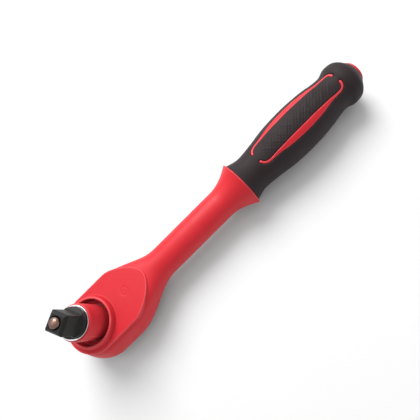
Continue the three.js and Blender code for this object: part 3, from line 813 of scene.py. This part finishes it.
def black_steel(colours):
    """Oiled black phosphate, worn through to steel on its sharpest edges."""
    material, tree, shader = new_material("Black phosphated steel")
    grain = use(tree, "Moulded Grain", Waviness=0.3, Grain=0.8)
    base = tint(tree, grain["Mottle"], darker(colours.phosphate, 0.8), (0.02, 0.022, 0.02))
    pale_edges = use(tree, "Edge Wear and Highlight", Start=0.56, End=0.68, Breakup=0.7)["Mask"]
    base = tint_onto(tree, maths(tree, "MULTIPLY", pale_edges, 0.35), base, (0.25, 0.24, 0.23))
    scuffs = use(tree, "Scuffs", Amount=0.2)["Mask"]
    rough = scaled(tree, grain["Mottle"], 0, 1, 0.42, 0.56)
    set_shader(tree, shader, Base_Color=base, Metallic=0.0,
               Roughness=maths(tree, "ADD", rough, scuffs),
               Normal=bump(tree, grain["Height"], 0.5, 0.00008))
    shader.inputs["Specular IOR Level"].default_value = 0.25
    return material


def worked_steel(name, shade, rough, lines=0.0, grain_share=0.3):
    """Bare or plated metal: its colour, its roughness and how strongly it shows turning lines."""
    material, tree, shader = new_material(name)
    grain = use(tree, "Moulded Grain", Waviness=0.1, Grain=grain_share)
    scuffs = use(tree, "Scuffs", Amount=0.25)["Mask"]
    height = maths(tree, "ADD", grain["Height"], scuffs)
    if lines:
        turning = use(tree, "Turning Lines", Lines_per_metre=16000.0)["Height"]
        height = maths(tree, "ADD", height, maths(tree, "MULTIPLY", turning, lines))
    set_shader(tree, shader, Base_Color=tint(tree, grain["Mottle"], darker(shade, 0.86), shade),
               Metallic=1.0, Roughness=scaled(tree, grain["Mottle"], 0, 1, rough, rough + 0.12),
               Normal=bump(tree, height, 0.3, 0.00005))
    return material


def seal_rubber(colours):
    """Dull nitrile rubber."""
    material, tree, shader = new_material("Seal rubber")
    grain = use(tree, "Moulded Grain", Waviness=0.4, Grain=1.0)
    set_shader(tree, shader, Roughness=scaled(tree, grain["Mottle"], 0, 1, 0.62, 0.8),
               Base_Color=tint(tree, grain["Mottle"], darker(colours.seal, 0.7), colours.seal),
               Normal=bump(tree, grain["Height"], 0.5, 0.0001))
    return material


def finish(name):
    """The material of one of the record's slots, made when it is first asked for."""
    label = {"red_plastic": "Red insulation", "grip_rubber": "Grip overmould",
             "lever_plastic": "Lever plastic", "black_steel": "Black phosphated steel",
             "forged_steel": "Forged steel", "bright_steel": "Bright steel",
             "copper_steel": "Warm plated steel", "bronze": "Sintered bronze",
             "seal_rubber": "Seal rubber"}[name]
    if label in bpy.data.materials:
        return bpy.data.materials[label]
    if not bpy.data.node_groups.get("Edge Wear and Highlight"):
        for make in (make_edge_wear_and_highlight, make_moulded_grain, make_scuffs, make_turning_lines):
            make()
    raw = bpy.context.scene.wrench_finishes
    colours = SimpleNamespace(**{key: tuple(getattr(raw, key)) for key in (
        "red", "red_pale", "bounce", "black", "lever", "phosphate", "forged", "bright", "copper",
        "bronze", "seal")})
    if name in ("red_plastic", "grip_rubber", "lever_plastic", "black_steel", "seal_rubber"):
        return {"red_plastic": red_plastic, "grip_rubber": grip_rubber,
                "lever_plastic": lever_plastic, "black_steel": black_steel,
                "seal_rubber": seal_rubber}[name](colours)
    shade, rough, lines = {"forged_steel": (colours.forged, 0.42, 0.0),
                           "bright_steel": (colours.bright, 0.14, 0.15),
                           "copper_steel": (colours.copper, 0.2, 0.5),
                           "bronze": (colours.bronze, 0.4, 0.3)}[name]
    return worked_steel(label, shade, rough, lines)


# ---- Operators ----------------------------------------------------------------------------


class WRENCH_OT_stage(bpy.types.Operator):
    """Make the floor, the light and the camera"""

    bl_idname = "wrench.stage"
    bl_label = "Stage"

    def execute(self, context):
        studio = context.scene.wrench_studio
        self.make_floor(tuple(context.scene.wrench_finishes.floor))
        self.make_light(context.scene, studio)
        self.make_camera(context.scene, studio)
        return {"FINISHED"}

    def make_floor(self, shade):
        """A pale sheet that can be seen through from below."""
        mesh = bpy.data.meshes.new("floor")
        reach = 4.0
        corners = [(-reach, -reach, 0), (reach, -reach, 0), (reach, reach, 0), (-reach, reach, 0)]
        mesh.from_pydata(corners, [], [(0, 1, 2, 3)])
        floor = bpy.data.objects.new("floor", mesh)
        bpy.context.scene.collection.objects.link(floor)
        material, tree, shader = new_material("Pale floor")
        speckle = scaled(tree, noise(tree, 0.05, 3), 0.3, 0.7)
        set_shader(tree, shader, Base_Color=tint(tree, speckle, darker(shade, 0.99), shade),
                   Roughness=0.9)
        below = add_node(tree, "ShaderNodeNewGeometry").outputs["Backfacing"]
        clear = tree.nodes.new("ShaderNodeBsdfTransparent")
        both = add_node(tree, "ShaderNodeMixShader", {0: below, 1: shader.outputs[0],
                                                      2: clear.outputs[0]})
        tree.links.new(both.outputs[0], tree.nodes["Material Output"].inputs["Surface"])
        mesh.materials.append(material)

    def make_light(self, scene, studio):
        """A large softbox on the far side, a weak one above, a card that the bright ring
        reflects, and even light all round."""
        world = bpy.data.worlds.new("Studio")
        world.use_nodes = True
        background = world.node_tree.nodes["Background"]
        background.inputs["Color"].default_value = (1, 1, 1, 1)
        background.inputs["Strength"].default_value = studio.fill
        scene.world = world
        scene.view_settings.view_transform = "Standard"
        middle = (CAD_BOX[0] + CAD_BOX[1]) / 2
        for name, offset, size, power in (
                ("key", (0.22, 0.70, 0.79), 0.8, studio.key_power),
                ("top", (0.3, 0.1, 1.1), 0.8, studio.key_power * 0.1),
                ("card", (-0.53, 0.44, 0.93), 0.5, studio.key_power * 0.05)):
            lamp = bpy.data.lights.new(name, "AREA")
            lamp.shape = "DISK"
            lamp.size = size
            lamp.energy = power
            holder = bpy.data.objects.new(name, lamp)
            holder.location = middle + Vector(offset)
            holder.rotation_euler = Vector(offset).to_track_quat("Z", "Y").to_euler()
            scene.collection.objects.link(holder)

    def make_camera(self, scene, studio):
        """Looks down on the drive side, with the handle running to the upper right."""
        eye = bpy.data.cameras.new("camera")
        eye.lens = studio.lens
        eye.sensor_width = 36
        eye.clip_start = 0.01
        right, up, back = ((0.70862, -0.64911, -0.27662), (0.70559, 0.65384, 0.27321),
                           (0.00352, -0.38878, 0.92132))
        place = Matrix((right, up, back)).transposed().to_4x4()
        place.translation = DRIVE + Vector((0.11032, -0.0966, 0.23549))
        camera = bpy.data.objects.new("camera", eye)
        camera.matrix_world = place
        scene.collection.objects.link(camera)
        scene.camera = camera


class WRENCH_OT_insulation(bpy.types.Operator):
    """Make the insulation shell and the cap in its back"""

    bl_idname = "wrench.insulation"
    bl_label = "Insulation"

    def execute(self, context):
        s = millimetres(context.scene.wrench_head)
        mesh, _ = moulded("insulation_shell", lambda x, y, z: insulation(x, y, z, s),
                          *SHELL, s.step)
        new_piece("head_insulation", "handle", finish("red_plastic"), mesh,
                  "insulation_shell")
        mesh, _ = moulded("back_cap", lambda x, y, z: back_plate(x, y, z, s), *CAP, s.step)
        new_piece("head_back_cap", "handle", finish("red_plastic"), mesh, "back_cap")
        return {"FINISHED"}


class WRENCH_OT_grip(bpy.types.Operator):
    """Make the soft sleeve, the hard core with its inlays, and the butt plug"""

    bl_idname = "wrench.grip"
    bl_label = "Grip"

    def execute(self, context):
        s = millimetres(context.scene.wrench_grip)
        mesh, _ = moulded("grip_sleeve", lambda x, y, z: sleeve(x, y, z, s), *SLEEVE, s.step)
        new_piece("soft_grip", "handle", finish("grip_rubber"), mesh, "grip_sleeve")
        mesh, _ = moulded("grip_core", lambda x, y, z: hard_core(x, y, z, s), *CORE, s.step)
        new_piece("grip_inlays", "handle", finish("red_plastic"), mesh, "grip_core")
        inner, outer, seat = PLUG[0].x, PLUG[1].x, CORE[1].x + s.gap
        wide = PLUG[1].y
        profile = [(0, inner), (5, inner), (5, seat), (wide, seat), (wide, outer - 1.8),
                   (wide - 0.8, outer - 0.8), (wide - 3, outer - 0.3), (wide - 6, outer - 0.05),
                   (0, outer)]
        mesh = turned("butt_cap", profile, 0.8, along=Matrix.Rotation(math.pi / 2, 4, "Y"))
        even_normals(new_piece("butt_plug", "handle", finish("red_plastic"), mesh,
                               "butt_cap"))
        return {"FINISHED"}


class WRENCH_OT_drive(bpy.types.Operator):
    """Make the square drive, its collar, ring, release pin, ball and seal"""

    bl_idname = "wrench.drive"
    bl_label = "Drive"

    def execute(self, context):
        s = millimetres(context.scene.wrench_drive)
        low, high = SPINDLE
        reach = s.neck_radius + 0.2
        mesh, _ = moulded("drive_spindle", lambda x, y, z: square_end(x, y, z, s),
                          (-reach, -reach, NECK_FOOT), (reach, reach, high.z), s.step)
        add_to(mesh, ratchet_wheel("wheel"))
        seat = WHEEL_TOP - 1
        add_to(mesh, turned("journal", [(0, low.z), (5.5, low.z), (5.5, seat), (10, seat),
                                        (10, NECK_FOOT), (0, NECK_FOOT)], 0.3))
        new_piece("square_drive", "drive", finish("black_steel"), mesh,
                  "drive_spindle")
        inner, outer = s.neck_radius + 0.3, COLLAR[1].x
        top = COLLAR[1].z
        self.turn("collar", "drive", "red_plastic", "drive_collar", 0.35,
                  [(inner, COLLAR[0].z), (outer, COLLAR[0].z), (outer, top - 1.1),
                   (outer - 0.3, top - 0.3), (outer - 0.7, top), (inner, top)])
        self.turn("bright_ring", "drive", "bright_steel", "collar_ring", 0.22,
                  [(s.groove_radius + 0.3, RING[0].z), (RING[1].x, RING[0].z),
                   (RING[1].x, RING[1].z), (s.groove_radius + 0.3, RING[1].z)])
        tip, shoulder = PIN[1].z, PIN[1].z - 4.7
        self.turn("release_button", "release_button", "copper_steel", "release_pin", 0.2,
                  [(0, 26), (1.7, 26), (1.7, 40.2), (3.7, 40.2), (3.7, 41.1), (1.9, 44.7),
                   (1.9, shoulder), (3.5, shoulder), (3.5, tip - 2.2), (3.2, tip - 1.2),
                   (2.3, tip - 0.4), (1.2, tip - 0.1), (0, tip)])
        self.turn("seal", "handle", "red_plastic", "drive_seal", 0.3,
                  [(12.1, 8.6), (15, 8.6), (15, 9.6), (14.2, 10), (13.4, 9.4), (12.5, 10),
                   (12.1, 9.8)])
        self.make_ball()
        self.make_spring()
        return {"FINISHED"}

    def turn(self, name, body_name, slot, node, radius, profile):
        facets = bpy.context.scene.wrench_drive.facets
        mesh = turned(node, profile, radius, facets)
        even_normals(new_piece(name, body_name, finish(slot), mesh, node))

    def make_ball(self):
        """The ball that holds a socket on, in the square's side."""
        low, high = BALL
        radius = (high.z - low.z) / 2
        arc = [(radius * math.sin(a), -radius * math.cos(a)) for a in np.linspace(0, math.pi, 25)]
        arc[0], arc[-1] = (0, -radius), (0, radius)
        mesh = turned("locking_ball", arc, 0, 48, Matrix.Translation((low + high) / 2))
        new_piece("socket_ball", "socket_lock", finish("bright_steel"), mesh,
                  "locking_ball")

    def make_spring(self):
        """The coil under the release pin; on the real wrench it shortens as the pin is pressed in."""
        low, high = SPRING
        mesh = coil("release_spring", 2.9, low.z, high.z, 4, 0.35)
        piece = new_piece("button_spring", "drive", finish("bright_steel"), mesh,
                          "release_spring")
        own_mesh(piece)


class WRENCH_OT_selector(bpy.types.Operator):
    """Make the reversing lever on the back"""

    bl_idname = "wrench.selector"
    bl_label = "Reversing lever"

    def execute(self, context):
        s = millimetres(context.scene.wrench_drive)
        place = Matrix.Translation((SELECTOR_X, 0, 0)) @ Matrix.Rotation(SELECTOR_TILT, 4, "Z")
        mesh, _ = moulded("selector_lever", lambda x, y, z: reversing_lever(x, y, z, s),
                          (-7.6, -7.6, LEVER[0].z), (13.2, 7.6, LEVER[1].z), s.step, place)
        new_piece("reversing_lever", "selector", finish("lever_plastic"), mesh,
                  "selector_lever")
        return {"FINISHED"}


class WRENCH_OT_mechanism(bpy.types.Operator):
    """Give the steel head, bush, pawl, screws and springs their finishes"""

    bl_idname = "wrench.mechanism"
    bl_label = "Mechanism"

    def execute(self, context):
        for part in frame["record"]["subparts"]:
            node = frame["nodes"][part["node"]]
            node.data.materials.clear()
            node.data.materials.append(finish(part["material_slot"]))
        return {"FINISHED"}


STEPS = (WRENCH_OT_stage, WRENCH_OT_insulation, WRENCH_OT_grip, WRENCH_OT_drive,
         WRENCH_OT_selector, WRENCH_OT_mechanism)


class WRENCH_PT_panel(bpy.types.Panel):
    """Lists the wrench's sizes, colours and pieces."""

    bl_idname = "WRENCH_PT_panel"
    bl_label = "Ratchet Wrench"
    bl_space_type = "VIEW_3D"
    bl_region_type = "UI"
    bl_category = "Wrench"

    def draw(self, context):
        layout = self.layout
        for name in SETTINGS:
            box = layout.box()
            settings = getattr(context.scene, name)
            for prop in settings.bl_rna.properties:
                if prop.identifier not in {"rna_type", "name"}:
                    box.prop(settings, prop.identifier)
        for step in STEPS:
            layout.operator(step.bl_idname)


SETTINGS = {"wrench_head": HeadSizes, "wrench_grip": GripSizes, "wrench_drive": DriveSizes,
            "wrench_finishes": Finishes, "wrench_studio": Studio}
CLASSES = (*SETTINGS.values(), *STEPS, WRENCH_PT_panel)


def register():
    for cls in CLASSES:
        bpy.utils.register_class(cls)
    for name, group in SETTINGS.items():
        setattr(bpy.types.Scene, name, PointerProperty(type=group))


def unregister():
    for name in SETTINGS:
        delattr(bpy.types.Scene, name)
    for cls in reversed(CLASSES):
        bpy.utils.unregister_class(cls)


def main():
    register()
    bpy.ops.wrench.stage()
    bpy.ops.wrench.insulation()
    bpy.ops.wrench.grip()
    bpy.ops.wrench.drive()
    bpy.ops.wrench.selector()
    bpy.ops.wrench.mechanism()


if __name__ == "__main__":
    main()
